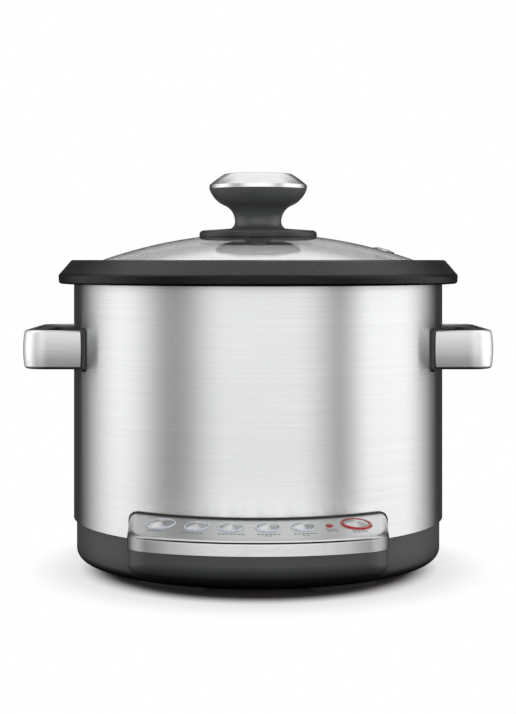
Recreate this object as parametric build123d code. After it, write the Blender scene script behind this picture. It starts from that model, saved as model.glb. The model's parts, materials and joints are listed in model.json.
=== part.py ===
from build123d import *
import math
import os

# An electric rice cooker with a lift-out non-stick bowl, a glass lid and a row of front buttons.
# Millimetres. +Z is up and the front faces -Y. The origin is on the cooker's axis at counter level.
# Radii and heights are written as (r, z) and are turned about the Z axis.

# ---- Driving dimensions -------------------------------------------------------------------
BODY_R = 138.0          # outside of the brushed steel wall
SHEET = 0.8             # thickness of pressed steel and aluminium sheet
FLOOR_Z = 5.0           # underside of the base, which is also the height of the feet
SEAM_Z = 35.2           # parting line between the plastic base and the steel wall
WALL_TOP_Z = 209.0      # top edge of the steel wall
RIM_TOP_Z = 226.0       # top of the bowl's rim
PLATE_TOP_Z = 97.5      # top of the heating plate, on which the bowl stands
DOME_TOP_Z = 246.1      # outside of the glass lid on the axis
KNOB_TOP_Z = 290.9      # flat top of the lid's knob
FIT_GAP = 0.3           # running gap between pieces that move past each other

# ---- Base ---------------------------------------------------------------------------------
BASE_R = BODY_R - 2.2
BASE_WALL = 2.5
BASE_ROUND = 8.0
SPIGOT_TOP_Z = SEAM_Z + 7.4
SPIGOT_R = BODY_R - SHEET - 0.1
FOOT_R_IN = 103.0
FOOT_R_OUT = 122.0
FOOT_START = 19.5       # degrees from the front or rear centre line
FOOT_END = 42.5
COVER_R = 93.7
COVER_LEDGE_R = 84.0
COVER_THICK = 2.4
COVER_SCREW_R = 89.0
COVER_SCREWS = 4

# ---- Control panel ------------------------------------------------------------------------
PANEL_R = 181.0         # front face, an arc about the cooker's axis
PANEL_HALF_REAR = 91.6  # half width on the line of the axis, from which the sides close in
PANEL_HALF_FRONT = 85.3
PANEL_CORNER = 24.0
PANEL_LOW_Z = 36.6      # parting line between the panel and its bulge
PANEL_EDGE_Z = 46.9     # top face at its front edge
PANEL_SLOPE = 9.0       # degrees, falling to the front
PANEL_GROOVE_Z = 45.4   # parting line between the top plate's edge and the front band
PANEL_WALL = 2.0
PANEL_GAP = 1.0         # shadow gap to the steel wall
PANEL_EDGE_ROUND = 2.6
CHIN_SLOPE = 18.0       # degrees, underside of the bulge that carries the panel
CHIN_ROUND = 10.0       # front edge of the bulge
CHIN_SIDE_ROUND = 8.0
BUTTON_R = 155.0        # the buttons' centres lie on this arc
BUTTON_TRAVEL = 1.2
RING_PROUD = 0.9
RING_DEPTH = 2.2        # how far the rings and the lens reach below the panel's top
FUNCTION_BUTTONS = [(-24.6, 8.5), (-15.0, 6.9), (-6.5, 6.9), (2.4, 6.9), (11.0, 6.9)]
START_BUTTON = (24.8, 8.4)      # each button is (degrees from the front, cap radius)
FUNCTION_RING = 1.75            # ring's outside beyond the cap
START_RING = 2.3
LENS_ANGLE = 17.6
LENS_R = 2.5
BOARD_Z = 38.2
BOARD_THICK = 1.6
SWITCH_HEIGHT = 4.0
SWITCH_R = BUTTON_R - 1.2       # the stems lean with the panel, so the switches sit further in
LED_OFFSET = 3.3                # degrees from a button to the light behind its ring

# ---- Bowl, lid and liner ------------------------------------------------------------------
BOWL_R = 121.0          # inside of the bowl
BOWL_WALL = 2.5
BOWL_CORNER = 16.0
LEDGE_Z = 216.0         # ledge that the lid sits on
LEDGE_R = 129.0
LINER_R = 130.0
LINER_FLOOR_Z = 75.0
COLLAR_R = 126.0
DOME_R = 350.0          # outside radius of curvature of the lid
GLASS = 4.0
GLASS_EDGE_R = 122.0
BAND_R = 127.5
VENT_R = 95.0           # distance of the steam vent from the axis, towards +X
VENT_HOLE_R = 1.8

# ---- Knob ---------------------------------------------------------------------------------
FLANGE_R = 44.3
FLANGE_TOP_Z = 248.0
FLANGE_EDGE = 3.0
NECK_Z = 249.6
NECK_FOOT_R = 21.0
WAIST_R = 17.5
WAIST_Z = 255.0
WAIST_FOOT = 6.0        # radius of the curve below the waist
WAIST_HOLLOW = 13.2     # radius of the curve above the waist
HEAD_R = 36.8
HEAD_ROUND = 21.0       # radius of the head's underside
HEAD_LEAN = 18.0        # degrees from upright of the head's side at the cap
FLARE_TILT = 32.0       # degrees above horizontal where the neck's curve turns into the head's
CAP_SEAM_Z = 279.6
CAP_EDGE_Z = 282.3
CAP_FLAT_R = 25.0
CAP_SHOULDER = 70.0     # radius of the cap's crowned shoulder
CAP_WALL = 1.4

# ---- Handles ------------------------------------------------------------------------------
HANDLE_X = 170.8        # outside of the grip bar
HANDLE_HALF = 60.0      # outside of the legs, front to rear
HANDLE_CORNER = 18.0
HANDLE_BAR = 15.0       # thickness of the loop in plan
HANDLE_TALL = 28.1
HANDLE_CROWN = 1.3      # bulge of the loop's outer face
HANDLE_EDGE = 2.6       # rounding of the loop's outer edges
HANDLE_MID_Z = 161.5
HANDLE_SHEET = 1.2      # thickness of the steel cover
COVER_WRAP = 3.4        # how far the steel cover reaches in over the top and bottom
CORE_GAP = 0.3          # between the steel cover and the core
COVER_END = 0.4         # shadow gap between the steel cover and the plate at the wall
COLLAR_PLATE = 2.0      # black plates between the legs and the wall
COLLAR_PLATE_TALL = 31.6
COLLAR_PLATE_EDGE = 1.2 # how far the plates show in front of and behind the legs
HANDLE_SCREW_Y = HANDLE_HALF - HANDLE_BAR / 2

# ---- Heater, sensor and electrics ---------------------------------------------------------
PLATE_R = 88.0
PLATE_THICK = 10.0
ELEMENT_R = 60.0
ELEMENT_TUBE_R = 3.5
ELEMENT_GAP = 40.0      # degrees left open between the element's two ends
STANDOFF_R = 74.0
SENSOR_R = 12.2
SENSOR_WELL_Z = 73.0    # bottom of the sensor's guide, on which its spring stands
SHIELD_Z = 60.0
SHIELD_R = 118.0
POWER_BOARD_Z = 22.0
INLET_Z = 21.0
INLET_FACE_Y = 132.0    # flat pad for the inlet's flange at the rear


# ---- Helpers ------------------------------------------------------------------------------
def section(*corners):
    """A closed outline through corners (x, y) or (x, y, radius), rounded by each radius."""
    outline = make_face(Polyline(*[corner[:2] for corner in corners], close=True))
    for x, y, radius in [corner for corner in corners if len(corner) == 3]:
        vertex = outline.vertices().sort_by_distance((x, y, 0))[0]
        outline = fillet(vertex, radius)
    return outline


def turned(outline):
    """The outline in r and z, turned about the Z axis."""
    return revolve(Plane.XZ * outline, Axis.Z)


def tube(r_in, r_out, z_low, z_high):
    """A round wall about the Z axis."""
    return turned(section((r_in, z_low), (r_out, z_low), (r_out, z_high), (r_in, z_high)))


def rod(radius, z_low, z_high):
    """An upright cylinder on the Z axis."""
    return Pos(0, 0, z_low) * extrude(Circle(radius), z_high - z_low)


def block(x_low, x_high, y_low, y_high, z_low, z_high):
    """A box between two corners."""
    middle = Pos((x_low + x_high) / 2, (y_low + y_high) / 2, (z_low + z_high) / 2)
    return middle * Box(x_high - x_low, y_high - y_low, z_high - z_low)


def polar(degrees, radius, height=0.0):
    """A place at an angle from the front centre line, counted towards +X."""
    turn = math.radians(degrees)
    return Pos(radius * math.sin(turn), -radius * math.cos(turn), height)


def group(solids):
    """Separate solids that share one name."""
    return Compound(children=[solid for piece in solids for solid in piece.solids()])


# ---- Base ---------------------------------------------------------------------------------
def panel_plan(inset):
    """The plan of the control panel, drawn in from its edge by the inset."""
    disc = Circle(PANEL_R - inset)
    strip = Polygon(
        (-PANEL_HALF_REAR + inset, 0),
        (-PANEL_HALF_FRONT + inset, -PANEL_R),
        (PANEL_HALF_FRONT - inset, -PANEL_R),
        (PANEL_HALF_REAR - inset, 0),
        align=None,
    )
    outline = disc & strip
    corners = outline.vertices().sort_by(Axis.Y)[:2]
    return fillet(corners, PANEL_CORNER - inset)


def chin_body(inset):
    """The bulge under the control panel, drawn in all round by the inset."""
    edge_r = PANEL_R - inset
    low_r = BASE_R - BASE_ROUND
    low_z = FLOOR_Z + inset
    corner_z = low_z + (edge_r - low_r) * math.tan(math.radians(CHIN_SLOPE))
    underside = turned(section(
        (0, low_z), (low_r, low_z), (edge_r, corner_z, CHIN_ROUND), (edge_r, PANEL_LOW_Z),
        (0, PANEL_LOW_Z)
    ))
    upright = Pos(0, 0, low_z) * extrude(panel_plan(inset), PANEL_LOW_Z - low_z)
    bulge = upright & underside
    rims = []
    for edge in bulge.edges():
        middle = edge.position_at(0.5)
        beside = abs(middle.X) > PANEL_HALF_FRONT * 0.8 and low_z + 2 < middle.Z < PANEL_LOW_Z - 2
        if beside and edge.geom_type != GeomType.LINE:
            rims.append(edge)
    return fillet(rims, CHIN_SIDE_ROUND)


def base_shell():
    """The round tray of the base with its bulge, hollow inside."""
    outside = turned(section(
        (0, FLOOR_Z), (BASE_R, FLOOR_Z, BASE_ROUND), (BASE_R, SEAM_Z), (SPIGOT_R, SEAM_Z),
        (SPIGOT_R, SPIGOT_TOP_Z), (0, SPIGOT_TOP_Z)
    ))
    inner_r = BASE_R - BASE_WALL
    inside = turned(section(
        (0, FLOOR_Z + BASE_WALL), (inner_r, FLOOR_Z + BASE_WALL, BASE_ROUND - BASE_WALL),
        (inner_r, SPIGOT_TOP_Z), (0, SPIGOT_TOP_Z)
    ))
    wall_room = tube(SPIGOT_R, BODY_R + FIT_GAP, SEAM_Z, PANEL_LOW_Z)
    return outside + (chin_body(0.5) - wall_room) - inside - chin_body(0.5 + BASE_WALL)


def cover_screws():
    """Screws through the bottom cover, into the base's bosses."""
    screw = rod(3.0, FLOOR_Z, FLOOR_Z + 1.6) + rod(1.5, FLOOR_Z, FLOOR_Z + 11)
    spacing = 360 / COVER_SCREWS
    return group([polar(index * spacing, COVER_SCREW_R) * screw for index in range(COVER_SCREWS)])


def inlet_screws():
    """Two screws through the inlet's flange."""
    head = Cone(1.5, 3.0, 1.5, align=(Align.CENTER, Align.CENTER, Align.MAX))
    shank = Cylinder(1.5, 8.0, align=(Align.CENTER, Align.CENTER, Align.MAX))
    screw = head + shank
    face = Plane(origin=(0, INLET_FACE_Y + 2.2, INLET_Z), x_dir=(1, 0, 0), z_dir=(0, 1, 0))
    return group([face * Pos(side * 19.5, 0, 0) * screw for side in (-1, 1)])


def base_housing():
    """Charcoal plastic base: tray, bulge, screw bosses, board posts and the pad for the inlet."""
    floor_top = FLOOR_Z + BASE_WALL
    shell = base_shell()
    shell += tube(COVER_LEDGE_R, COVER_R + 3, floor_top, floor_top + 2.5)
    for index in range(COVER_SCREWS):
        shell += polar(index * 360 / COVER_SCREWS, COVER_SCREW_R) * rod(4.0, floor_top, floor_top + 10)
    for degrees in (-21, 0, 21):
        shell += polar(degrees, 162) * rod(2.5, 17.5, BOARD_Z)
    shell += block(-27, 27, 127, INLET_FACE_Y, floor_top, SEAM_Z)
    shell -= rod(COVER_R + 0.3, 0, floor_top)
    shell -= block(-25, 25, INLET_FACE_Y, 140, INLET_Z - 12.8, INLET_Z + 12.8)
    shell -= block(-14.5, 14.5, 100, 140, INLET_Z - 10.5, INLET_Z + 10.5)
    return shell - cover_screws() - inlet_screws()


def bottom_cover():
    """The plate under the base, with cooling slots and posts for the power board."""
    plate = rod(COVER_R, FLOOR_Z, FLOOR_Z + COVER_THICK)
    for row in range(-2, 3):
        for side in (-1, 1):
            slot = block(-14, 14, -1.5, 1.5, 0, 10)
            plate -= Pos(side * 34, row * 7, 0) * slot
    for x in (-42, 42):
        for y in (-26, 26):
            plate += Pos(x, y, 0) * rod(3.5, FLOOR_Z + COVER_THICK, POWER_BOARD_Z)
    return plate - cover_screws() - board_screws()


def rubber_feet():
    """Four curved rubber feet, two at the front and two at the rear."""
    sweep_angle = FOOT_END - FOOT_START
    bar = section(
        (FOOT_R_IN, 0, 0.8), (FOOT_R_OUT, 0, 0.8), (FOOT_R_OUT, FLOOR_Z), (FOOT_R_IN, FLOOR_Z)
    )
    foot = revolve(Plane.XZ * bar, Axis.Z, sweep_angle)
    starts = [-90 + FOOT_START, -90 - FOOT_END, 90 + FOOT_START, 90 - FOOT_END]
    return group([Rot(0, 0, start) * foot for start in starts])


def inlet_pins():
    """Two supply blades and the taller earth blade of the power inlet."""
    y_tail = INLET_FACE_Y - 28
    y_tip = INLET_FACE_Y - 2
    blade = block(-1, 1, y_tail, y_tip, INLET_Z - 4, INLET_Z)
    earth = block(-1, 1, y_tail, y_tip + 1, INLET_Z + 2, INLET_Z + 6)
    return group([Pos(-7, 0, 0) * blade, Pos(7, 0, 0) * blade, earth])


def inlet_socket():
    """The hollow that the supply connector enters, with two chamfered corners."""
    mouth = section((-12.2, -8.3), (12.2, -8.3), (12.2, 4.3), (8.2, 8.3), (-8.2, 8.3), (-12.2, 4.3))
    rear = Plane(origin=(0, INLET_FACE_Y - 17, INLET_Z), x_dir=(-1, 0, 0), z_dir=(0, 1, 0))
    return extrude(rear * mouth, 30)


def power_inlet_housing():
    """Black moulded inlet for a detachable supply lead."""
    body = block(-14, 14, INLET_FACE_Y - 20, INLET_FACE_Y, INLET_Z - 10, INLET_Z + 10)
    flange = block(-24.5, 24.5, INLET_FACE_Y, INLET_FACE_Y + 2.2, INLET_Z - 12.5, INLET_Z + 12.5)
    flange = fillet(flange.edges().filter_by(Axis.Y), 4)
    return body + flange - inlet_socket() - inlet_pins() - inlet_screws()


# ---- Body shell, collar and liner ---------------------------------------------------------
def handle_screws():
    """Screws from inside the steel wall into both legs of both handles."""
    start_x = BODY_R * math.cos(math.asin(HANDLE_SCREW_Y / BODY_R)) - 3.5
    screw = Cylinder(2.0, 19, align=(Align.CENTER, Align.CENTER, Align.MIN))
    screw += Cylinder(3.8, 2, align=(Align.CENTER, Align.CENTER, Align.MAX))
    solids = []
    for side in (-1, 1):
        for y in (-HANDLE_SCREW_Y, HANDLE_SCREW_Y):
            place = Plane(origin=(side * start_x, y, HANDLE_MID_Z), x_dir=(0, 1, 0), z_dir=(side, 0, 0))
            solids.append(place * screw)
    return group(solids)


def outer_body_shell():
    """The brushed steel wall."""
    return tube(BODY_R - SHEET, BODY_R, SEAM_Z, WALL_TOP_Z) - handle_screws()


def top_collar():
    """Heat-resistant ring that joins the steel wall to the liner under the bowl's rim."""
    return turned(section(
        (COLLAR_R, WALL_TOP_Z), (LINER_R + 1, WALL_TOP_Z), (LINER_R + 1, WALL_TOP_Z - 7),
        (SPIGOT_R, WALL_TOP_Z - 7), (SPIGOT_R, WALL_TOP_Z), (BODY_R + 0.4, WALL_TOP_Z),
        (BODY_R + 0.4, WALL_TOP_Z + 2, 1), (COLLAR_R + 5, WALL_TOP_Z + 2),
        (COLLAR_R + 4, WALL_TOP_Z + 4, 0.8), (COLLAR_R, WALL_TOP_Z + 4, 1)
    ))


def inner_liner():
    """Aluminium bucket around the bowl, with holes for the plate's screws, element and sensor."""
    liner = turned(section(
        (0, LINER_FLOOR_Z), (LINER_R, LINER_FLOOR_Z, 8), (LINER_R, WALL_TOP_Z - 0.1),
        (LINER_R - SHEET, WALL_TOP_Z - 0.1), (LINER_R - SHEET, LINER_FLOOR_Z + SHEET, 7.2),
        (0, LINER_FLOOR_Z + SHEET)
    ))
    liner -= rod(15.3, 70, 80)
    for degrees in element_ends():
        liner -= polar(degrees, ELEMENT_R) * rod(5.1, 70, 80)
    return liner - heater_screws()


def element_ends():
    """Angles of the element's two ends, which face the rear."""
    return 180 - ELEMENT_GAP / 2, 180 + ELEMENT_GAP / 2


def standoff_angles():
    """Three standoffs, one of them at the front."""
    return [0, 120, 240]


def heater_screws():
    """Screws from under the liner, through the standoffs and into the heating plate."""
    under = LINER_FLOOR_Z - 2
    screw = rod(3.5, under, LINER_FLOOR_Z) + rod(2.0, under, PLATE_TOP_Z - 5)
    return group([polar(degrees, STANDOFF_R) * screw for degrees in standoff_angles()])


def heater_standoffs():
    """Ceramic spacers that carry the heating plate above the liner's floor."""
    spacer = tube(2.1, 5.0, LINER_FLOOR_Z + SHEET, PLATE_TOP_Z - PLATE_THICK)
    return group([polar(degrees, STANDOFF_R) * spacer for degrees in standoff_angles()])


def heating_element():
    """Tubular element: most of a ring with two legs that turn down to the terminals."""
    level = PLATE_TOP_Z - PLATE_THICK - 0.8
    ring = Pos(ELEMENT_R, 0) * Circle(ELEMENT_TUBE_R)
    turn = revolve(Plane.XZ * ring, Axis.Z, 360 - ELEMENT_GAP)
    turn = Pos(0, 0, level) * Rot(0, 0, 90 + ELEMENT_GAP / 2) * turn
    for degrees in element_ends():
        turn += polar(degrees, ELEMENT_R, level) * Sphere(ELEMENT_TUBE_R)
        turn += polar(degrees, ELEMENT_R) * rod(ELEMENT_TUBE_R, LINER_FLOOR_Z - 9, level)
    return turn


def terminal_insulators():
    """Ceramic bushes where the element's legs pass through the liner's floor."""
    bush = tube(ELEMENT_TUBE_R + 0.1, 5.0, LINER_FLOOR_Z - 3, LINER_FLOOR_Z + 5)
    return group([polar(degrees, ELEMENT_R) * bush for degrees in element_ends()])


def heating_plate():
    """Cast aluminium plate with a groove for the element and a hole for the sensor."""
    low_z = PLATE_TOP_Z - PLATE_THICK
    plate = turned(section(
        (16, low_z), (PLATE_R, low_z, 2), (PLATE_R, PLATE_TOP_Z, 1.5), (16, PLATE_TOP_Z)
    ))
    groove = turned(Pos(ELEMENT_R, low_z - 0.8) * Circle(ELEMENT_TUBE_R + 0.1))
    return plate - groove - heater_screws()


def thermal_fuse():
    """One-shot fuse held against the underside of the heating plate by its strap."""
    low_z = PLATE_TOP_Z - PLATE_THICK
    barrel = Pos(0, -36, low_z - 2.5) * Rot(0, 90, 0) * Cylinder(2.4, 12)
    strap = block(-3, 3, -45, -27, low_z - 1, low_z)
    saddle = block(-3, 3, -39.5, -32.5, low_z - 6, low_z)
    return strap + saddle + barrel


def heat_shield():
    """Dished sheet between the liner's hot floor and the electrics, open where wires pass."""
    rim_z = LINER_FLOOR_Z - 0.1
    dish = turned(section(
        (10, SHIELD_Z), (SHIELD_R, SHIELD_Z, 4), (SHIELD_R, rim_z), (SHIELD_R - SHEET, rim_z),
        (SHIELD_R - SHEET, SHIELD_Z + SHEET, 3.2), (10, SHIELD_Z + SHEET)
    ))
    for degrees in element_ends():
        dish -= polar(degrees, ELEMENT_R) * rod(5.0, SHIELD_Z - 1, SHIELD_Z + 2)
    return dish


# ---- Temperature sensor -------------------------------------------------------------------
def sensor_housing():
    """Cup in the middle of the heating plate that guides the sensor."""
    return turned(section(
        (2, 71), (22, 71), (22, LINER_FLOOR_Z), (15, LINER_FLOOR_Z), (15, 92), (SENSOR_R + FIT_GAP, 92),
        (SENSOR_R + FIT_GAP, SENSOR_WELL_Z), (2, SENSOR_WELL_Z)
    ))


def sensor_cap():
    """Sprung aluminium cap that the bowl presses down."""
    top = PLATE_TOP_Z - 0.2
    return turned(section(
        (0, top), (SENSOR_R, top, 1.2), (SENSOR_R, top - 12), (SENSOR_R - 1, top - 12),
        (SENSOR_R - 1, top - 1.2), (0, top - 1.2)
    ))


def sensor_spring():
    """Compression spring under the sensor's cap."""
    wire_r = 0.6
    low_z = SENSOR_WELL_Z + wire_r + 0.1
    high_z = PLATE_TOP_Z - 0.2 - 1.2 - wire_r - 0.1
    coil = Pos(0, 0, low_z) * Helix(pitch=4.2, height=high_z - low_z, radius=8.0)
    start = Plane(origin=coil @ 0, z_dir=coil % 0)
    return sweep(start * Circle(wire_r), path=coil, is_frenet=True)


# ---- Power electronics --------------------------------------------------------------------
def board_screws():
    """Self-tapping screws that hold the power board on its posts."""
    top = POWER_BOARD_Z + BOARD_THICK
    screw = rod(1.4, top - 9, top) + rod(2.8, top, top + 1.8)
    return group([Pos(x, y, 0) * screw for x in (-42, 42) for y in (-26, 26)])


def power_board():
    """Circuit board that carries the supply parts."""
    plate = block(-48, 48, -32, 32, POWER_BOARD_Z, POWER_BOARD_Z + BOARD_THICK)
    plate = fillet(plate.edges().filter_by(Axis.Z), 3)
    return plate - board_screws()


def on_board(x, y, width, depth, height):
    """A block that stands on the power board."""
    base = POWER_BOARD_Z + BOARD_THICK
    return block(x - width / 2, x + width / 2, y - depth / 2, y + depth / 2, base, base + height)


def power_relay():
    """Relay that switches the heating element."""
    case = on_board(-28, 10, 28, 12.5, 15.5)
    return fillet(case.edges().filter_by(Axis.Z), 1)


def power_transformer():
    """Small laminated transformer with its winding."""
    core = on_board(20, 4, 34, 18, 28)
    winding = on_board(20, 4, 22, 30, 22)
    return fillet(winding.edges().filter_by(Axis.Z), 4) + core


def filter_capacitor():
    """Boxed mains filter capacitor."""
    case = on_board(-28, -14, 18, 8.5, 15)
    return fillet(case.edges().filter_by(Axis.Z), 1)


def wire(radius, *points):
    """A wire through its points, each bend as large as the shorter of its two runs allows."""
    places = [Vector(point) for point in points]
    bends = []
    for before, corner, after in zip(places, places[1:], places[2:]):
        run_in = corner - before
        run_out = after - corner
        half_turn = math.radians(run_in.get_angle(run_out) / 2)
        bends.append(0.45 * min(run_in.length, run_out.length) / math.tan(half_turn))
    path = FilletPolyline(*places, radius=bends)
    start = Plane(origin=path @ 0, z_dir=path % 0)
    return sweep(start * Circle(radius), path=path)


def internal_wiring():
    """Leads from the inlet and the board to the element, the sensor and the control board."""
    tail_y = INLET_FACE_Y - 28.1
    board_top = POWER_BOARD_Z + BOARD_THICK + 0.1
    element_z = LINER_FLOOR_Z - 9.1
    wires = []
    for side in (-1, 1):
        leg = polar(180 + side * ELEMENT_GAP / 2, ELEMENT_R).position
        wires.append(wire(
            1.3, (side * 7, tail_y, INLET_Z - 2), (side * 7, tail_y - 18, INLET_Z - 1),
            (side * 7, tail_y - 40, INLET_Z + 8), (side * 8, 42, INLET_Z + 16),
            (side * 8, 26, INLET_Z + 15), (side * 8, 26, board_top)
        ))
        wires.append(wire(
            1.3, (leg.X, leg.Y, element_z), (leg.X, leg.Y, 52), (leg.X * 1.2, 44, 40),
            (leg.X * 1.2, 29, 36), (leg.X * 1.2, 29, board_top)
        ))
        wires.append(wire(
            0.8, (side * 1.1, 0, SENSOR_WELL_Z - 0.1), (side * 1.1, 0, 50), (side * 1.1, -18, 38),
            (side * 1.1, -18, board_top)
        ))
        wires.append(wire(
            1.0, (side * 4, -25, board_top), (side * 4, -25, 37), (side * 4, -42, 41),
            (side * 4, -72, 34), (side * 4, -104, 25), (side * 4, -132, 23), (side * 4, -147, 28),
            (side * 4, -147, BOARD_Z - 0.1)
        ))
    return group(wires)


# ---- Control panel ------------------------------------------------------------------------
def panel_height(radius):
    """Height of the panel's sloping top at a distance from the axis."""
    return PANEL_EDGE_Z + (PANEL_R - radius) * math.tan(math.radians(PANEL_SLOPE))


def under_cone(drop):
    """Everything below the panel's conical top, lowered by the drop."""
    return turned(section(
        (0, PANEL_LOW_Z), (PANEL_R + 1, PANEL_LOW_Z),
        (PANEL_R + 1, panel_height(PANEL_R + 1) - drop), (0, panel_height(0) - drop)
    ))


def panel_block(inset, drop):
    """The panel's plan raised to its sloping top."""
    return Pos(0, 0, PANEL_LOW_Z) * extrude(panel_plan(inset), 60) & under_cone(drop)


def on_panel(degrees):
    """A plane on the panel's top, its normal leaving the panel."""
    turn = math.radians(degrees)
    lean = math.radians(PANEL_SLOPE)
    out = Vector(math.sin(turn), -math.cos(turn), 0)
    normal = out * math.sin(lean) + Vector(0, 0, math.cos(lean))
    origin = out * BUTTON_R + Vector(0, 0, panel_height(BUTTON_R))
    return Plane(origin=origin, x_dir=(math.cos(turn), math.sin(turn), 0), z_dir=normal)


def button_ring(degrees, ring_in, ring_out):
    """Raised ring around a button."""
    outline = section(
        (ring_in, -RING_DEPTH), (ring_out, -RING_DEPTH), (ring_out, RING_PROUD, 0.8),
        (ring_in, RING_PROUD, 0.5)
    )
    return on_panel(degrees) * turned(outline)


def button(degrees, cap_r):
    """Domed cap with a retaining rim under its ring and a stem to its switch."""
    edge = 0.5
    dome = 1.3
    dome_radius = (cap_r * cap_r + dome * dome) / (2 * dome)
    switch_top = BOARD_Z + BOARD_THICK + SWITCH_HEIGHT
    stem_end = panel_height(BUTTON_R) - switch_top - BUTTON_TRAVEL - FIT_GAP
    rim_r = cap_r + 0.9
    rim_top = -RING_DEPTH - FIT_GAP
    cap = turned(section(
        (0, -4), (rim_r, -4), (rim_r, rim_top), (cap_r, rim_top), (cap_r, edge + dome), (0, edge + dome)
    ))
    crown = Pos(0, 0, edge + dome - dome_radius) * Sphere(dome_radius)
    stem = rod(1.5, -stem_end, -3)
    return on_panel(degrees) * ((cap & crown) + stem)


def all_buttons():
    """Angle, cap radius and ring's outside radius of every button, from left to right."""
    listed = [(degrees, cap_r, cap_r + FUNCTION_RING) for degrees, cap_r in FUNCTION_BUTTONS]
    return listed + [(*START_BUTTON, START_BUTTON[1] + START_RING)]


def function_button_rings():
    """Clear rings around the function buttons."""
    functions = all_buttons()[:-1]
    return group([button_ring(degrees, cap_r + FIT_GAP, out_r) for degrees, cap_r, out_r in functions])


def start_button_ring():
    """Translucent red ring around the start button."""
    degrees, cap_r, out_r = all_buttons()[-1]
    return button_ring(degrees, cap_r + FIT_GAP, out_r)


def keep_warm_lens():
    """Small red lens over the keep-warm light."""
    outline = section((0, -RING_DEPTH), (LENS_R, -RING_DEPTH), (LENS_R, 0.7, 0.6), (0, 0.7))
    return on_panel(LENS_ANGLE) * turned(outline)


def control_fascia():
    """Satin silver cover of the control panel, hollow under its sloping top."""
    cover = panel_block(0, 0) - rod(BODY_R + PANEL_GAP, 0, 90)
    top = cover.faces().filter_by(GeomType.CONE)[0]
    rim = []
    for edge in top.edges():
        middle = edge.center()
        if middle.Y < -BODY_R or abs(middle.X) > PANEL_HALF_FRONT - 3:
            rim.append(edge)
    cover = fillet(rim, PANEL_EDGE_ROUND)
    hollow = panel_block(PANEL_WALL, PANEL_WALL) - rod(BODY_R + PANEL_GAP + PANEL_WALL, 0, 90)
    cover -= hollow
    groove = turned(Pos(PANEL_R, PANEL_GROOVE_Z) * Circle(0.6))
    cover -= groove & block(-62, 62, -PANEL_R - 1, 0, 0, 90)
    for degrees, cap_r, out_r in all_buttons():
        cover -= on_panel(degrees) * rod(out_r + 0.05, -6, 6)
    return cover - on_panel(LENS_ANGLE) * rod(LENS_R + 0.05, -6, 6)


def control_board():
    """Circuit board under the buttons."""
    plan = panel_plan(PANEL_WALL + 1)
    plate = Pos(0, 0, BOARD_Z) * extrude(plan, BOARD_THICK)
    return plate - rod(BODY_R + PANEL_GAP + PANEL_WALL + 1, 0, 90)


def tact_switches():
    """One push switch on the board under each button."""
    base = BOARD_Z + BOARD_THICK
    case = block(-3.1, 3.1, -3.1, 3.1, base, base + SWITCH_HEIGHT - 1)
    switch = case + rod(1.7, base, base + SWITCH_HEIGHT)
    return group([polar(degrees, SWITCH_R) * switch for degrees, cap_r, out_r in all_buttons()])


def indicator_leds():
    """Lights on the board: one behind each ring and one under the keep-warm lens."""
    base = BOARD_Z + BOARD_THICK
    light = rod(1.5, base, base + 2.5) + Pos(0, 0, base + 2.5) * Sphere(1.5)
    angles = [degrees + LED_OFFSET for degrees, cap_r, out_r in all_buttons()] + [LENS_ANGLE]
    return group([polar(degrees, SWITCH_R) * light for degrees in angles])


# ---- Bowl and lid -------------------------------------------------------------------------
def cooking_bowl():
    """Cast aluminium bowl with a wide bevelled rim that hides the top of the steel wall."""
    outer_r = BOWL_R + BOWL_WALL
    floor_z = PLATE_TOP_Z + BOWL_WALL
    under_z = LEDGE_Z - BOWL_WALL
    return turned(section(
        (0, PLATE_TOP_Z), (outer_r, PLATE_TOP_Z, BOWL_CORNER + BOWL_WALL), (outer_r, under_z, 1.5),
        (LEDGE_R + 1.4, under_z, 1), (BODY_R - 0.4, RIM_TOP_Z - 2.8, 0.6), (BODY_R + 8.3, 213.8, 1),
        (BODY_R + 8.3, 208.5), (BODY_R + 11.1, 208.5, 2), (BODY_R + 11.5, 214.7, 2.5),
        (BODY_R + 1.8, RIM_TOP_Z, 2.5), (BODY_R - 1.8, RIM_TOP_Z, 1.5),
        (LEDGE_R, LEDGE_Z, 1), (BOWL_R, LEDGE_Z, 1), (BOWL_R, floor_z, BOWL_CORNER), (0, floor_z)
    ))


def dome_height(radius):
    """Height of the outside of the glass at a distance from the axis."""
    return DOME_TOP_Z - DOME_R + math.sqrt(DOME_R * DOME_R - radius * radius)


def dome(radius, r_in, r_out):
    """A cap of a sphere centred where the lid's outside is, cut to a ring in plan."""
    ball = Pos(0, 0, DOME_TOP_Z - DOME_R) * Sphere(radius)
    wall = rod(r_out, LEDGE_Z - 20, DOME_TOP_Z + 1)
    if r_in:
        wall -= rod(r_in, LEDGE_Z - 20, DOME_TOP_Z + 1)
    return ball & wall


def vent_place():
    """Plane on the outside of the dome at the steam vent, with its normal leaving the glass."""
    centre = Vector(0, 0, DOME_TOP_Z - DOME_R)
    point = Vector(VENT_R, 0, dome_height(VENT_R))
    return Plane(origin=point, x_dir=(0, 1, 0), z_dir=(point - centre).normalized())


def glass_lid():
    """Domed tempered glass with holes for the knob's screw and the steam vent."""
    glass = dome(DOME_R, 4.0, GLASS_EDGE_R) - Pos(0, 0, DOME_TOP_Z - DOME_R) * Sphere(DOME_R - GLASS)
    return glass - vent_place() * rod(4.2, -8, 4)


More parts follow.
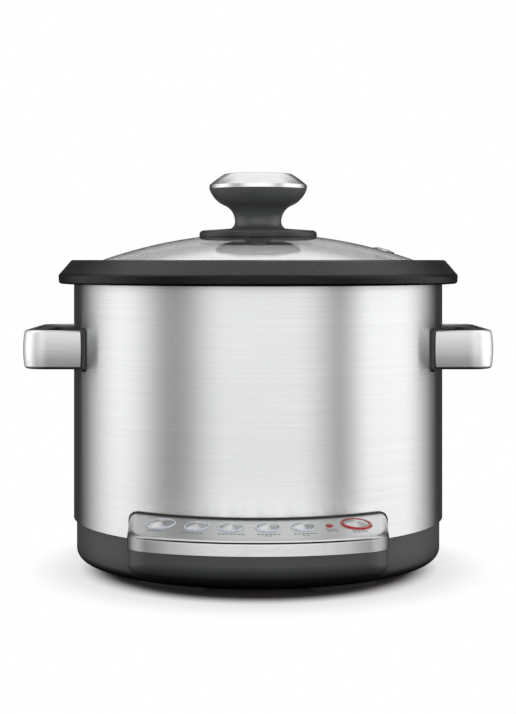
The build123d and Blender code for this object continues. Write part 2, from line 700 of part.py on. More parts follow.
def lid_rim_band():
    """Rolled steel band around the edge of the glass, which sits on the bowl's ledge."""
    lip_r = GLASS_EDGE_R - 3
    outline = section(
        (lip_r, LEDGE_Z), (BAND_R, LEDGE_Z, 1.4), (BAND_R, dome_height(BAND_R), 2.2),
        (GLASS_EDGE_R + 1, dome_height(GLASS_EDGE_R) + 0.7, 2), (lip_r, dome_height(lip_r) + 0.7)
    )
    band = turned(outline - offset(outline, -SHEET))
    gap = 0.05
    inside = dome(DOME_R + gap, 0, GLASS_EDGE_R + gap)
    inside -= Pos(0, 0, DOME_TOP_Z - DOME_R) * Sphere(DOME_R - GLASS - gap)
    return band - inside


def vent_eyelet():
    """Eyelet through the glass with a small steam hole."""
    eyelet = turned(section(
        (VENT_HOLE_R, -5.6, 0.5), (6.0, -5.6, 0.5), (6.0, -4.1), (4.1, -4.1), (4.1, 0.15), (7.9, 0.15),
        (7.9, 0.7, 0.3), (5.0, 1.3, 1), (VENT_HOLE_R + 1.2, 1.3, 0.5), (VENT_HOLE_R, 0.6, 0.3)
    ))
    return vent_place() * eyelet


def knob_screw():
    """Screw from inside the lid, up into the knob."""
    glass_under = DOME_TOP_Z - GLASS
    return rod(6.0, glass_under - 4.6, glass_under - 1.4) + rod(2.5, glass_under - 4.6, CAP_SEAM_Z - 12)


def knob_washer():
    """Silicone washer between the screw's head and the glass."""
    glass_under = DOME_TOP_Z - GLASS
    return tube(2.6, 10.0, glass_under - 1.4, glass_under - 0.2)


def knob_base():
    """Wide black flange that keeps fingers off the glass, with a small notch at the front."""
    disc = turned(section(
        (0, 235), (FLANGE_R, 235), (FLANGE_R, FLANGE_TOP_Z, FLANGE_EDGE), (NECK_FOOT_R, NECK_Z), (0, NECK_Z)
    ))
    glass_side = Pos(0, 0, DOME_TOP_Z - DOME_R) * Sphere(DOME_R + 0.1)
    notch = block(-5.2, 5.2, -FLANGE_R - 1, -FLANGE_R + 1.5, FLANGE_TOP_Z - 4.1, FLANGE_TOP_Z - 3)
    return disc - glass_side - notch - rod(2.6, 230, 270)


def knob_profile():
    """Half section of the black grip: a waisted neck that sweeps out to the round head."""
    foot_turn = math.degrees(math.asin((WAIST_Z - NECK_Z) / WAIST_FOOT))
    foot = CenterArc((WAIST_R + WAIST_FOOT, WAIST_Z), WAIST_FOOT, 180 + foot_turn, -foot_turn)
    neck = CenterArc((WAIST_R + WAIST_HOLLOW, WAIST_Z), WAIST_HOLLOW, 180, FLARE_TILT - 90)
    lean = math.radians(HEAD_LEAN)
    centre = (HEAD_R - HEAD_ROUND * math.cos(lean), CAP_SEAM_Z + HEAD_ROUND * math.sin(lean))
    head = CenterArc(centre, HEAD_ROUND, FLARE_TILT - 90, 90 - FLARE_TILT - HEAD_LEAN)
    flare = Line(neck @ 1, head @ 0)
    close = Polyline(head @ 1, (0, CAP_SEAM_Z), (0, NECK_Z), foot @ 0)
    return make_face(foot + neck + flare + head + close)


def knob_grip():
    """Black waisted grip of the lid."""
    return turned(knob_profile()) - knob_screw()


def cap_body(wall):
    """The knob's cap as a solid, drawn in by the wall: a sloping shoulder around a flat top."""
    top_z = KNOB_TOP_Z - wall
    edge = (HEAD_R - wall, CAP_EDGE_Z - wall / 2)
    flat = (CAP_FLAT_R - wall / 2, top_z)
    shoulder = RadiusArc(edge, flat, -CAP_SHOULDER)
    close = Polyline(flat, (0, top_z), (0, CAP_SEAM_Z), (HEAD_R - wall, CAP_SEAM_Z), edge)
    cap = turned(make_face(shoulder + close))
    return fillet(cap.edges().sort_by(Axis.Z)[-1], 4)


def knob_cap():
    """Steel cap on the grip, hollow inside."""
    return cap_body(0) - cap_body(CAP_WALL)


# ---- Handles ------------------------------------------------------------------------------
def handle_path():
    """Plan of the right handle's outer face, from the front leg round to the rear leg."""
    return FilletPolyline(
        (90, -HANDLE_HALF), (HANDLE_X, -HANDLE_HALF), (HANDLE_X, HANDLE_HALF), (90, HANDLE_HALF),
        radius=HANDLE_CORNER
    )


def loop_outline():
    """Cross section of the loop with its crowned outer face at x = 0 and its middle at y = 0."""
    half = HANDLE_TALL / 2
    face = ThreePointArc((-HANDLE_CROWN, -half), (0, 0), (-HANDLE_CROWN, half))
    rest = Polyline(
        (-HANDLE_CROWN, half), (-HANDLE_BAR, half), (-HANDLE_BAR, -half), (-HANDLE_CROWN, -half)
    )
    outline = make_face(face + rest)
    outline = fillet(outline.vertices().sort_by(Axis.X)[-2:], HANDLE_EDGE)
    return fillet(outline.vertices().sort_by(Axis.X)[:2], 4)


def along_handle(outline, gap):
    """The outline taken round the handle's plan, up to a gap from the plates at the wall."""
    path = handle_path()
    start = Plane(origin=path @ 0, x_dir=(0, -1, 0), z_dir=path % 0)
    loop = Pos(0, 0, HANDLE_MID_Z) * sweep(start * outline, path=path)
    return loop - rod(BODY_R + COLLAR_PLATE + gap, 100, 220)


def on_side(side, right_piece):
    """The right handle's piece, or its mirror image on the left."""
    return right_piece if side > 0 else mirror(right_piece, Plane.YZ)


def handle_cover(side):
    """Brushed steel band that wraps the outside of a handle."""
    wrap = Pos(5 - COVER_WRAP, 0) * Rectangle(10, HANDLE_TALL + 2)
    outline = (loop_outline() - offset(loop_outline(), -HANDLE_SHEET)) & wrap
    return on_side(side, along_handle(outline, COVER_END))


def handle_core(side):
    """Black plastic loop behind the steel band."""
    core = along_handle(offset(loop_outline(), -HANDLE_SHEET - CORE_GAP), 0.05)
    return on_side(side, core - handle_screws())


def handle_collars(side):
    """Black plates between a handle's two legs and the steel wall."""
    half = COLLAR_PLATE_TALL / 2
    solids = []
    for front in (-1, 1):
        inner_y = front * (HANDLE_HALF - HANDLE_BAR - 2)
        outer_y = front * (HANDLE_HALF + COLLAR_PLATE_EDGE)
        low_y, high_y = sorted((inner_y, outer_y))
        bar = block(90, 150, low_y, high_y, HANDLE_MID_Z - half, HANDLE_MID_Z + half)
        bar = fillet(bar.edges().filter_by(Axis.X), 3)
        wall = tube(BODY_R + 0.05, BODY_R + COLLAR_PLATE, WALL_TOP_Z - 80, WALL_TOP_Z)
        solids.append((wall & bar) - handle_screws())
    return on_side(side, group(solids))


# ---- Write every piece --------------------------------------------------------------------
def all_parts():
    """Every piece by its name."""
    parts = {
        "base_housing": base_housing(),
        "bottom_cover": bottom_cover(),
        "bottom_cover_screws": cover_screws(),
        "rubber_feet": rubber_feet(),
        "power_inlet_housing": power_inlet_housing(),
        "inlet_pins": inlet_pins(),
        "inlet_screws": inlet_screws(),
        "outer_body_shell": outer_body_shell(),
        "top_collar": top_collar(),
        "inner_liner": inner_liner(),
        "heating_plate": heating_plate(),
        "heating_element": heating_element(),
        "terminal_insulators": terminal_insulators(),
        "heater_standoffs": heater_standoffs(),
        "heater_screws": heater_screws(),
        "thermal_fuse": thermal_fuse(),
        "heat_shield": heat_shield(),
        "sensor_housing": sensor_housing(),
        "sensor_cap": sensor_cap(),
        "sensor_spring": sensor_spring(),
        "power_board": power_board(),
        "board_screws": board_screws(),
        "power_relay": power_relay(),
        "power_transformer": power_transformer(),
        "filter_capacitor": filter_capacitor(),
        "internal_wiring": internal_wiring(),
        "control_fascia": control_fascia(),
        "control_board": control_board(),
        "tact_switches": tact_switches(),
        "indicator_leds": indicator_leds(),
        "function_button_rings": function_button_rings(),
        "start_button_ring": start_button_ring(),
        "keep_warm_lens": keep_warm_lens(),
        "start_button": button(*START_BUTTON),
        "handle_screws": handle_screws(),
        "cooking_bowl": cooking_bowl(),
        "glass_lid": glass_lid(),
        "lid_rim_band": lid_rim_band(),
        "vent_eyelet": vent_eyelet(),
        "knob_base": knob_base(),
        "knob_grip": knob_grip(),
        "knob_cap": knob_cap(),
        "knob_washer": knob_washer(),
        "knob_screw": knob_screw(),
    }
    for number, place in enumerate(FUNCTION_BUTTONS, start=1):
        parts[f"function_button_{number}"] = button(*place)
    for side, word in ((-1, "left"), (1, "right")):
        parts[f"handle_core_{word}"] = handle_core(side)
        parts[f"handle_cover_{word}"] = handle_cover(side)
        parts[f"handle_collars_{word}"] = handle_collars(side)
    return parts


os.makedirs("parts", exist_ok=True)
for name, piece in all_parts().items():
    export_step(piece, f"parts/{name}.step")
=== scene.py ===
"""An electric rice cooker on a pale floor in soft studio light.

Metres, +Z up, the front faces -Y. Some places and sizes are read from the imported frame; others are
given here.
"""
import json
import math

import bmesh
import bpy
from mathutils import Matrix, Vector


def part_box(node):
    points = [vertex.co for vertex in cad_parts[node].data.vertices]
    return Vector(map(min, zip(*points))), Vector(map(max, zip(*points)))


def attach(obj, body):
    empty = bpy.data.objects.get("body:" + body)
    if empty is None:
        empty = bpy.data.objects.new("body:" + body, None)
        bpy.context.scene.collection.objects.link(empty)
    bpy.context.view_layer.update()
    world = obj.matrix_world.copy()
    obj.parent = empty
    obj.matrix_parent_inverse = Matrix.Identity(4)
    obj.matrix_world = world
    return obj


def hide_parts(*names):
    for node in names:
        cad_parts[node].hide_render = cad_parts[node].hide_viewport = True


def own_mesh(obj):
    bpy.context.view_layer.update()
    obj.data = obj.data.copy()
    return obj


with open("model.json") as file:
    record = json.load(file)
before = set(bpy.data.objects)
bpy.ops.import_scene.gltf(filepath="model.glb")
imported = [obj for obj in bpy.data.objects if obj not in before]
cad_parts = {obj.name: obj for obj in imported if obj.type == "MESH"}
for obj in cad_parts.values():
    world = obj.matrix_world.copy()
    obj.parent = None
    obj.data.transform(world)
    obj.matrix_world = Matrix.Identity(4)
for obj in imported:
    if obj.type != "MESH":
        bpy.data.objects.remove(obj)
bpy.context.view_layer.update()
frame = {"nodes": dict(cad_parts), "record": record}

# ---- Measures read from the frame -----------------------------------------------------------
MM = 0.001
BODY_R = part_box("outer_body_shell")[1].x
RIM_CREASE_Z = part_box("cooking_bowl")[1].z - 10 * MM


# ---- Shader helper --------------------------------------------------------------------------
class Shader:
    """A material with one Principled shader, and short calls that add the nodes behind it."""

    def __init__(self, name, **values):
        self.material = bpy.data.materials.new(name)
        self.material.use_nodes = True
        self.tree = self.material.node_tree
        self.surface = self.tree.nodes["Principled BSDF"]
        for socket, value in values.items():
            self.surface.inputs[socket.replace("_", " ")].default_value = value

    def add(self, kind, **inputs):
        """A node of that kind, its inputs set to values or joined to other nodes' outputs."""
        node = self.tree.nodes.new("ShaderNode" + kind)
        for name, value in inputs.items():
            self.set(node, name.replace("_", " "), value)
        return node

    def set(self, node, socket, value):
        """Joins an output to the socket, or sets the socket to a value."""
        target = node.inputs[int(socket)] if socket.isdigit() else node.inputs[socket]
        if isinstance(value, bpy.types.NodeSocket):
            self.tree.links.new(value, target)
        else:
            target.default_value = value

    def place(self, scale):
        """The object's own coordinates in metres, stretched by a scale along X, Y and Z."""
        coordinates = self.add("TexCoord").outputs["Object"]
        return self.add("Mapping", Vector=coordinates, Scale=scale).outputs[0]

    def noise(self, scale, detail=3.0, roughness=0.5):
        """Noise from 0 to 1, in cycles per metre along X, Y and Z."""
        place = self.place(scale)
        node = self.add("TexNoise", Vector=place, Scale=1.0, Detail=detail, Roughness=roughness)
        return node.outputs["Fac"]

    def span(self, value, low, high, start=0.3, end=0.7):
        """The value, which runs from start to end, mapped to the range from low to high."""
        node = self.add("MapRange")
        for name, number in (("From Min", start), ("From Max", end), ("To Min", low), ("To Max", high)):
            node.inputs[name].default_value = number
        self.tree.links.new(value, node.inputs["Value"])
        return node.outputs["Result"]

    def blend(self, factor, first, second):
        """A colour between two colours."""
        node = self.tree.nodes.new("ShaderNodeMix")
        node.data_type = "RGBA"
        self.tree.links.new(factor, node.inputs[0])
        for index, value in ((6, first), (7, second)):
            if isinstance(value, bpy.types.NodeSocket):
                self.tree.links.new(value, node.inputs[index])
            else:
                node.inputs[index].default_value = (*value, 1.0)
        return node.outputs[2]

    def join(self, socket, output):
        """Joins an output to a socket of the Principled shader."""
        self.tree.links.new(output, self.surface.inputs[socket])

    def bump(self, height, strength, distance):
        """Raises the surface by a height from 0 to 1 times a distance in metres."""
        node = self.add("Bump", Strength=strength, Distance=distance, Height=height)
        self.join("Normal", node.outputs["Normal"])


# ---- Materials ------------------------------------------------------------------------------
HIGHLIGHT_FAN_TURN = math.radians(62)     # direction of the painted highlight fans on the spun button caps


def brushed(name, colour, roughness, grain, anisotropy=0.0, turn=0.25, contrast=0.05, centre=None):
    """Brushed metal, fine along one axis and long along the others, or spun about a centre with painted
    highlight fans.
    """
    shader = Shader(name, Metallic=1.0, Anisotropic=anisotropy, Anisotropic_Rotation=turn)
    fine = shader.noise(grain, 4.0, 0.65)
    broad = shader.noise(tuple(value / 4 for value in grain), 2.0)
    dark = tuple(value * (1 - contrast) for value in colour)
    light = tuple(min(1.0, value * (1 + contrast)) for value in colour)
    shader.join("Base Color", shader.blend(shader.span(fine, 0.0, 1.0), dark, light))
    shader.join("Roughness", shader.span(broad, roughness - 0.018, roughness + 0.018))
    shader.bump(fine, 0.08, 0.00002)
    if centre:
        # The spun face's colour carries painted highlight fans.
        shader.join("Base Color", painted_fan_highlight(shader, centre, fine, colour))
        arm = shader.add("VectorMath")
        arm.operation = "SUBTRACT"
        shader.set(arm, "0", shader.place((1, 1, 1)))
        shader.set(arm, "1", centre)
        around = shader.add("VectorMath")
        around.operation = "CROSS_PRODUCT"
        shader.set(around, "0", arm.outputs[0])
        shader.set(around, "1", shader.add("NewGeometry").outputs["Normal"])
        shader.join("Tangent", around.outputs[0])
    elif anisotropy:
        tangent = shader.add("Tangent")
        tangent.direction_type = "RADIAL"
        tangent.axis = "Z"
        shader.join("Tangent", tangent.outputs[0])
    return shader.material


def painted_fan_highlight(shader, centre, fine, colour):
    """Painted highlight: two paler fans on opposite sides of a spun face, broken up by its fine turning
    marks.
    """
    offset = tuple(-value for value in centre)
    arm = shader.add("Mapping", Vector=shader.add("TexCoord").outputs["Object"], Location=offset)
    split = shader.add("SeparateXYZ", Vector=arm.outputs[0])
    angle = shader.add("Math", **{"0": split.outputs["Y"], "1": split.outputs["X"]})
    angle.operation = "ARCTAN2"
    twice = shader.add("Math", **{"0": angle.outputs[0], "1": 2.0, "2": -2 * HIGHLIGHT_FAN_TURN})
    twice.operation = "MULTIPLY_ADD"
    wave = shader.add("Math", **{"0": twice.outputs[0]})
    wave.operation = "COSINE"
    highlight_fan = shader.span(wave.outputs[0], 0.0, 1.0, -0.6, 0.9)
    highlight_fan.node.interpolation_type = "SMOOTHSTEP"
    dark = tuple(value * 0.50 for value in colour)
    tone = shader.blend(highlight_fan, dark, tuple(value * 1.05 for value in colour))
    return shader.blend(shader.span(fine, 0.0, 0.16), tone, tuple(value * 0.5 for value in colour))


def handle_steel():
    """Satin steel of the handles, with painted shade low down and painted light at the top and outer
    corners.
    """
    low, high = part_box("handle_cover_right")
    shader = Shader("handle_steel", Metallic=1.0)
    fine = shader.noise((30, 30, 1600), 4.0, 0.65)
    split = shader.add("SeparateXYZ", Vector=shader.add("TexCoord").outputs["Object"])
    # Painted shade: the face runs from dark at the bottom to light at the top.
    upward = shader.span(split.outputs["Z"], 0.0, 1.0, low.z + 8 * MM, high.z - 1 * MM)
    face = shader.blend(upward, (0.315, 0.32, 0.32), (0.56, 0.57, 0.57))
    # Painted highlight: paler towards the outer corners.
    reach = shader.add("Math", **{"0": split.outputs["X"]})
    reach.operation = "ABSOLUTE"
    outer_highlight = shader.span(reach.outputs[0], 0.0, 1.0, high.x - 21 * MM, high.x - 8 * MM)
    outer_highlight.node.interpolation_type = "SMOOTHSTEP"
    tone = shader.blend(outer_highlight, face, (0.86, 0.87, 0.87))
    streak = shader.span(fine, 0.0, 0.12)
    shader.join("Base Color", shader.blend(streak, tone, (0.2, 0.2, 0.2)))
    shader.join("Roughness", shader.span(fine, 0.36, 0.42))
    shader.bump(fine, 0.08, 0.00002)
    return shader.material


def moulded(name, colour, roughness, grain=2600.0, depth=0.00003, low=None, heights=(0.0, 1.0)):
    """Moulded plastic with a fine spark-eroded texture, which may turn to another colour lower down."""
    shader = Shader(name, Specular_IOR_Level=0.4)
    cloud = shader.noise((25, 25, 25), 3.0)
    pits = shader.noise((grain, grain, grain), 2.0)
    light = tuple(value * 1.25 for value in colour)
    skin = shader.blend(shader.span(cloud, 0.0, 1.0), colour, light)
    # A colour lower down, which on the base is painted shade by the floor.
    if low:
        split = shader.add("SeparateXYZ", Vector=shader.add("TexCoord").outputs["Object"])
        upward = shader.span(split.outputs["Z"], 0.0, 1.0, *heights)
        upward.node.interpolation_type = "SMOOTHSTEP"
        skin = shader.blend(upward, low, skin)
    shader.join("Base Color", skin)
    shader.join("Roughness", shader.span(cloud, roughness - 0.04, roughness + 0.04))
    shader.bump(pits, 0.35, depth)
    return shader.material


def metal(name, colour, roughness, grain=900.0):
    """Plain metal with fine tarnish."""
    shader = Shader(name, Metallic=1.0)
    tarnish = shader.noise((grain, grain, grain), 4.0)
    dark = tuple(value * 0.85 for value in colour)
    shader.join("Base Color", shader.blend(shader.span(tarnish, 0.0, 1.0), dark, colour))
    shader.join("Roughness", shader.span(tarnish, roughness - 0.05, roughness + 0.07))
    return shader.material


def non_stick():
    """Dark brown-black coating with fine pale flecks, with painted shade under the rim's crease: darker
    and less reflective there.
    """
    shader = Shader("non_stick", Specular_IOR_Level=0.45)
    flecks = shader.add("TexVoronoi", Vector=shader.place((1500, 1500, 1500)), Scale=1.0)
    mask = shader.span(flecks.outputs["Distance"], 1.0, 0.0, 0.05, 0.22)
    patch = shader.noise((260, 260, 260), 3.0)
    cloud = shader.span(patch, 0.0, 1.0)
    base = shader.blend(cloud, (0.0060, 0.0045, 0.0042), (0.0125, 0.0100, 0.0098))
    coat = shader.blend(mask, base, (0.10, 0.088, 0.084))
    height = shader.add("SeparateXYZ", Vector=shader.add("TexCoord").outputs["Object"]).outputs["Z"]
    # Painted shade: below the crease the coat turns near-black and reflects less.
    face = shader.span(height, 0.0, 1.0, RIM_CREASE_Z - 0.6 * MM, RIM_CREASE_Z + 0.6 * MM)
    shader.join("Base Color", shader.blend(face, (0.002, 0.0018, 0.0018), coat))
    shader.join("Specular IOR Level", shader.span(face, 0.16, 0.45, 0.0, 1.0))
    shader.join("Roughness", shader.span(patch, 0.26, 0.33))
    shader.bump(shader.noise((1800, 1800, 1800), 2.0), 0.25, 0.00004)
    return shader.material


def clear_glass(name, colour, roughness=0.0):
    """Glass with a slight smear of roughness."""
    shader = Shader(name, Transmission_Weight=1.0, IOR=1.5, Base_Color=(*colour, 1.0))
    smear = shader.noise((14, 14, 14), 2.0)
    shader.join("Roughness", shader.span(smear, roughness, roughness + 0.004))
    return shader.material


def clear_ring():
    """Frosted clear plastic of the rings, slightly blue."""
    shader = Shader(
        "clear_ring", Transmission_Weight=0.3, IOR=1.45, Coat_Weight=1.0, Coat_Roughness=0.05
    )
    cloud = shader.noise((300, 300, 300), 2.0)
    shader.join("Base Color", shader.blend(cloud, (0.50, 0.56, 0.66), (0.60, 0.65, 0.74)))
    shader.join("Roughness", shader.span(cloud, 0.10, 0.20))
    return shader.material


def spun_cap(node):
    """Spun metal for the flat cap of one button, turned about the cap's own middle, with painted
    highlight fans.
    """
    low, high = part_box(node)
    centre = ((low.x + high.x) / 2, (low.y + high.y) / 2, high.z)
    return brushed(
        f"spun_{node}", (0.80, 0.80, 0.79), 0.30, (120, 120, 120), 0.9, contrast=0.02, centre=centre
    )


def dress():
    """Gives each CAD node the material of its slot."""
    finishes = {
        # Painted shade: the base turns near-black towards its bottom edge, by the floor.
        "base_plastic": moulded(
            "base_plastic", (0.034, 0.038, 0.037), 0.46,
            low=(0.002, 0.002, 0.002), heights=(0.007, 0.023)
        ),
        "black_plastic": moulded("black_plastic", (0.012, 0.013, 0.013), 0.40),
        "knob_plastic": moulded(
            "knob_plastic", (0.064, 0.069, 0.069), 0.36,
            low=(0.017, 0.018, 0.018), heights=(0.246, 0.256)
        ),
        "screw_steel": metal("screw_steel", (0.62, 0.62, 0.62), 0.25),
        "rubber": moulded("rubber", (0.006, 0.006, 0.006), 0.75),
        "pin_brass": metal("pin_brass", (0.80, 0.66, 0.38), 0.25),
        "brushed_wall": brushed(
            "brushed_wall", (0.61, 0.62, 0.62), 0.27, (26, 26, 2300), 0.93, contrast=0.022
        ),
        "handle_steel": handle_steel(),
        "liner_aluminium": brushed("liner_aluminium", (0.78, 0.78, 0.79), 0.35, (20, 20, 700), 0.4),
        "cast_aluminium": metal("cast_aluminium", (0.66, 0.66, 0.67), 0.38),
        "element_tube": metal("element_tube", (0.22, 0.19, 0.17), 0.45),
        "ceramic": moulded("ceramic", (0.72, 0.69, 0.62), 0.70),
        "circuit_board": moulded("circuit_board", (0.012, 0.10, 0.035), 0.35),
        "relay_case": moulded("relay_case", (0.02, 0.02, 0.02), 0.5),
        "transformer_core": metal("transformer_core", (0.20, 0.20, 0.21), 0.5),
        "capacitor_case": moulded("capacitor_case", (0.60, 0.42, 0.03), 0.4),
        "wire_sleeve": moulded("wire_sleeve", (0.70, 0.66, 0.58), 0.6),
        "panel_silver": brushed("panel_silver", (0.60, 0.60, 0.59), 0.34, (60, 60, 1500)),
        "led_epoxy": clear_glass("led_epoxy", (0.9, 0.88, 0.85)),
        "clear_ring": clear_ring(),
        "red_ring": moulded("red_ring", (0.26, 0.003, 0.003), 0.15),
        "nonstick": non_stick(),
        "lid_glass": clear_glass("lid_glass", (0.985, 0.99, 0.99)),
        "band_steel": metal("band_steel", (0.68, 0.68, 0.68), 0.16),
        "cap_steel": metal("cap_steel", (0.72, 0.72, 0.71), 0.24, 40.0),
    }
    for row in frame["record"]["subparts"]:
        node = frame["nodes"][row["node"]]
        if row["material_slot"] == "button_metal":
            finish = spun_cap(row["node"])
        else:
            finish = finishes[row["material_slot"]]
        for slot in node.material_slots:
            slot.material = finish


# ---- Control panel --------------------------------------------------------------------------
PANEL_LOW, PANEL_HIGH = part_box("control_fascia")
PANEL_R = -PANEL_LOW.y              # front face, an arc about the cooker's axis
PANEL_GAP = 1.0 * MM                # between the panel's rear edge and the steel wall
PANEL_CORNER = 24 * MM
PANEL_EDGE_Z = PANEL_LOW.z + 10.3 * MM
PANEL_SLOPE = math.tan(math.radians(9.0))
SIDE_LEAN = math.atan(6.3 / 181)    # the panel's sides close in towards the front
SIDE_ROUND = 5.5 * MM               # rounding of the top edge along the sides
FRONT_ROUND = 1.3 * MM              # and along the front
SHELF = 7.5 * MM                    # strip inside the edge that holds the shallow groove
GROOVE_Z = PANEL_LOW.z + 8.8 * MM   # parting line along the front face
GROOVE_DEPTH = 0.75 * MM
GROOVE_WIDTH = 0.55 * MM            # spread of the groove's rounded section
DIP_INSET = 3.4 * MM                # shallow dip in the top, just inside its front edge
DIP_DEPTH = 0.22 * MM
DIP_WIDTH = 0.9 * MM
BUTTON_ROW_R = 155 * MM             # radius of the arc on which the buttons stand
SEAL_PROUD = 0.75 * MM              # how far the black seal stands past the panel's rear edge
RING_BEYOND = 0.85 * MM             # how far a ring reaches beyond its button's retaining rim


def panel_top(x, y):
    """Height of the panel's sloping top."""
    return PANEL_EDGE_Z + (PANEL_R - math.hypot(x, y)) * PANEL_SLOPE


class PanelEdge:
    """The right half of the panel's outline, from the rear corner to the middle of the front."""

    def __init__(self, side_steps=26, corner_steps=20, front_steps=44):
        self.rear_r = BODY_R + PANEL_GAP
        self.ahead = Vector((-math.sin(SIDE_LEAN), -math.cos(SIDE_LEAN)))
        self.out = Vector((math.cos(SIDE_LEAN), -math.sin(SIDE_LEAN)))
        self.rear = Vector((PANEL_HIGH.x, -math.sqrt(self.rear_r ** 2 - PANEL_HIGH.x ** 2)))
        self.corner = self.forward_to(PANEL_CORNER, PANEL_R - PANEL_CORNER)
        turn_side = -SIDE_LEAN
        turn_front = math.atan2(self.corner.y, self.corner.x)
        self.stations = [("side", step / side_steps) for step in range(side_steps)]
        for step in range(corner_steps):
            self.stations.append(("corner", turn_side + (turn_front - turn_side) * step / corner_steps))
        for step in range(front_steps + 1):
            turn = turn_front + (-math.pi / 2 - turn_front) * step / front_steps
            self.stations.append(("front", turn))
        self.turns = (turn_side, turn_front)

    def forward_to(self, inset, radius):
        """Where the side's line, drawn in by the inset, reaches a radius at its front end."""
        start = self.rear - self.out * inset
        along = start.dot(self.ahead)
        return start + self.ahead * (-along + math.sqrt(along ** 2 - start.length_squared + radius ** 2))

    def point(self, station, inset):
        """The outline's point at a station, drawn in by the inset."""
        kind, place = station
        if kind == "side":
            first = self.forward_to(inset, self.rear_r)
            last = self.corner + self.out * (PANEL_CORNER - inset)
            return first.lerp(last, place)
        direction = Vector((math.cos(place), math.sin(place)))
        if kind == "corner":
            return self.corner + direction * (PANEL_CORNER - inset)
        return direction * (PANEL_R - inset)

    def frontness(self, station):
        """0 along the side and 1 along the front, changing smoothly round the corner."""
        kind, place = station
        if kind != "corner":
            return 0.0 if kind == "side" else 1.0
        share = (place - self.turns[0]) / (self.turns[1] - self.turns[0])
        return share * share * (3 - 2 * share)


def fascia_column(edge, station):
    """Points of the panel's surface at a station, from the bottom of its skirt to the rear edge."""
    skirt_rows = 22
    round_rows = 8
    shelf_rows = 16
    top_rows = 12
    front = edge.frontness(station)
    rounding = SIDE_ROUND + (FRONT_ROUND - SIDE_ROUND) * front
    foot = edge.point(station, 0)
    skirt_top = panel_top(*foot) - rounding
    column = [(*edge.point(station, 0.5 * MM), PANEL_LOW.z), (*foot, PANEL_LOW.z + 0.4 * MM)]
    skirt_low = column[-1][2]
    for row in range(1, skirt_rows + 1):
        height = skirt_low + (skirt_top - skirt_low) * (row / skirt_rows) ** 0.5
        depth = GROOVE_DEPTH * front * math.exp(-((height - GROOVE_Z) / GROOVE_WIDTH) ** 2)
        column.append((*edge.point(station, depth), height))
    for step in range(1, round_rows + 1):
        turn = math.pi / 2 * step / round_rows
        inset = rounding * (1 - math.cos(turn))
        point = edge.point(station, inset)
        column.append((*point, panel_top(*point) - rounding * (1 - math.sin(turn))))
    for row in range(1, shelf_rows + 1):
        inset = rounding + (SHELF - rounding) * row / shelf_rows
        point = edge.point(station, inset)
        dip = DIP_DEPTH * front * math.exp(-((inset - DIP_INSET) / DIP_WIDTH) ** 2)
        column.append((*point, panel_top(*point) - dip))
    last = edge.point(station, SHELF)
    for row in range(1, top_rows + 1):
        radius = last.length + (edge.rear_r - last.length) * row / top_rows
        point = last.normalized() * radius
        column.append((*point, panel_top(*point)))
    rear = column[-1]
    column.append((rear[0], rear[1], rear[2] - 2.0 * MM))
    return column


def mesh_object(name, mesh_data):
    """A new object from a bmesh."""
    mesh = bpy.data.meshes.new(name)
    mesh_data.to_mesh(mesh)
    mesh_data.free()
    piece = bpy.data.objects.new(name, mesh)
    bpy.context.scene.collection.objects.link(piece)
    return piece


def smooth(piece, degrees=38):
    """Smooth shading, with edges sharper than the angle kept sharp."""
    piece.data.shade_smooth()
    piece.data.set_sharp_from_angle(angle=math.radians(degrees))


def panel_frame(degrees, radius):
    """Place and tilt of something that stands on the panel's top."""
    turn = math.radians(degrees)
    out = Vector((math.sin(turn), -math.cos(turn), 0))
    across = Vector((math.cos(turn), math.sin(turn), 0))
    lean = math.atan(PANEL_SLOPE)
    normal = out * math.sin(lean) + Vector((0, 0, math.cos(lean)))
    along = normal.cross(across)
    spot = out * radius
    spot.z = panel_top(spot.x, spot.y)
    place = Matrix((across, along, normal)).transposed().to_4x4()
    place.translation = spot
    return place


def opening_for(node, clearance):
    """Degrees from the front and radius of the panel's opening around a node."""
    low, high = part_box(node)
    middle = (low + high) / 2
    return math.degrees(math.atan2(middle.x, -middle.y)), (high.x - low.x) / 2 + clearance


def panel_openings():
    """Degrees and radius of each round opening in the panel's top."""
    openings = [opening_for(f"function_button_{number}", RING_BEYOND) for number in range(1, 6)]
    for node in ("start_button_ring", "keep_warm_lens"):
        openings.append(opening_for(node, 0.05 * MM))
    return openings


def applied(piece):
    """Replaces the piece's mesh by the mesh that its modifiers make."""
    made = bpy.data.meshes.new_from_object(piece.evaluated_get(bpy.context.evaluated_depsgraph_get()))
    piece.modifiers.clear()
    piece.data = made


def control_panel():
    """Satin silver cover with soft sides, a sharp grooved front edge and its button openings."""
    edge = PanelEdge()
    right = [fascia_column(edge, station) for station in edge.stations]
    left = [[(-x, y, z) for x, y, z in column] for column in right[:-1]]
    columns = right + left[::-1]
    surface = bmesh.new()
    grid = [[surface.verts.new(point) for point in column] for column in columns]
    for first, second in zip(grid, grid[1:]):
        for row in range(len(first) - 1):
            surface.faces.new((first[row], first[row + 1], second[row + 1], second[row]))
    bmesh.ops.remove_doubles(surface, verts=surface.verts, dist=0.00001)
    bmesh.ops.recalc_face_normals(surface, faces=surface.faces)
    piece = mesh_object("panel_cover", surface)
    wall = piece.modifiers.new("wall", "SOLIDIFY")
    wall.thickness = 1.2 * MM
    wall.offset = -1.0
    cutters = bmesh.new()
    for degrees, radius in panel_openings():
        made = bmesh.ops.create_cone(
            cutters, cap_ends=True, segments=96, radius1=radius, radius2=radius, depth=12 * MM
        )
        bmesh.ops.transform(cutters, matrix=panel_frame(degrees, BUTTON_ROW_R), verts=made["verts"])
    cutter = mesh_object("panel_cutter", cutters)
    cut = piece.modifiers.new("openings", "BOOLEAN")
    cut.object = cutter
    cut.solver = "EXACT"
    applied(piece)
    bpy.data.objects.remove(cutter)
    smooth(piece)
    piece.data.materials.clear()
    piece.data.materials.append(panel_silver())
    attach(piece, "cooker")
    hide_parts("control_fascia")


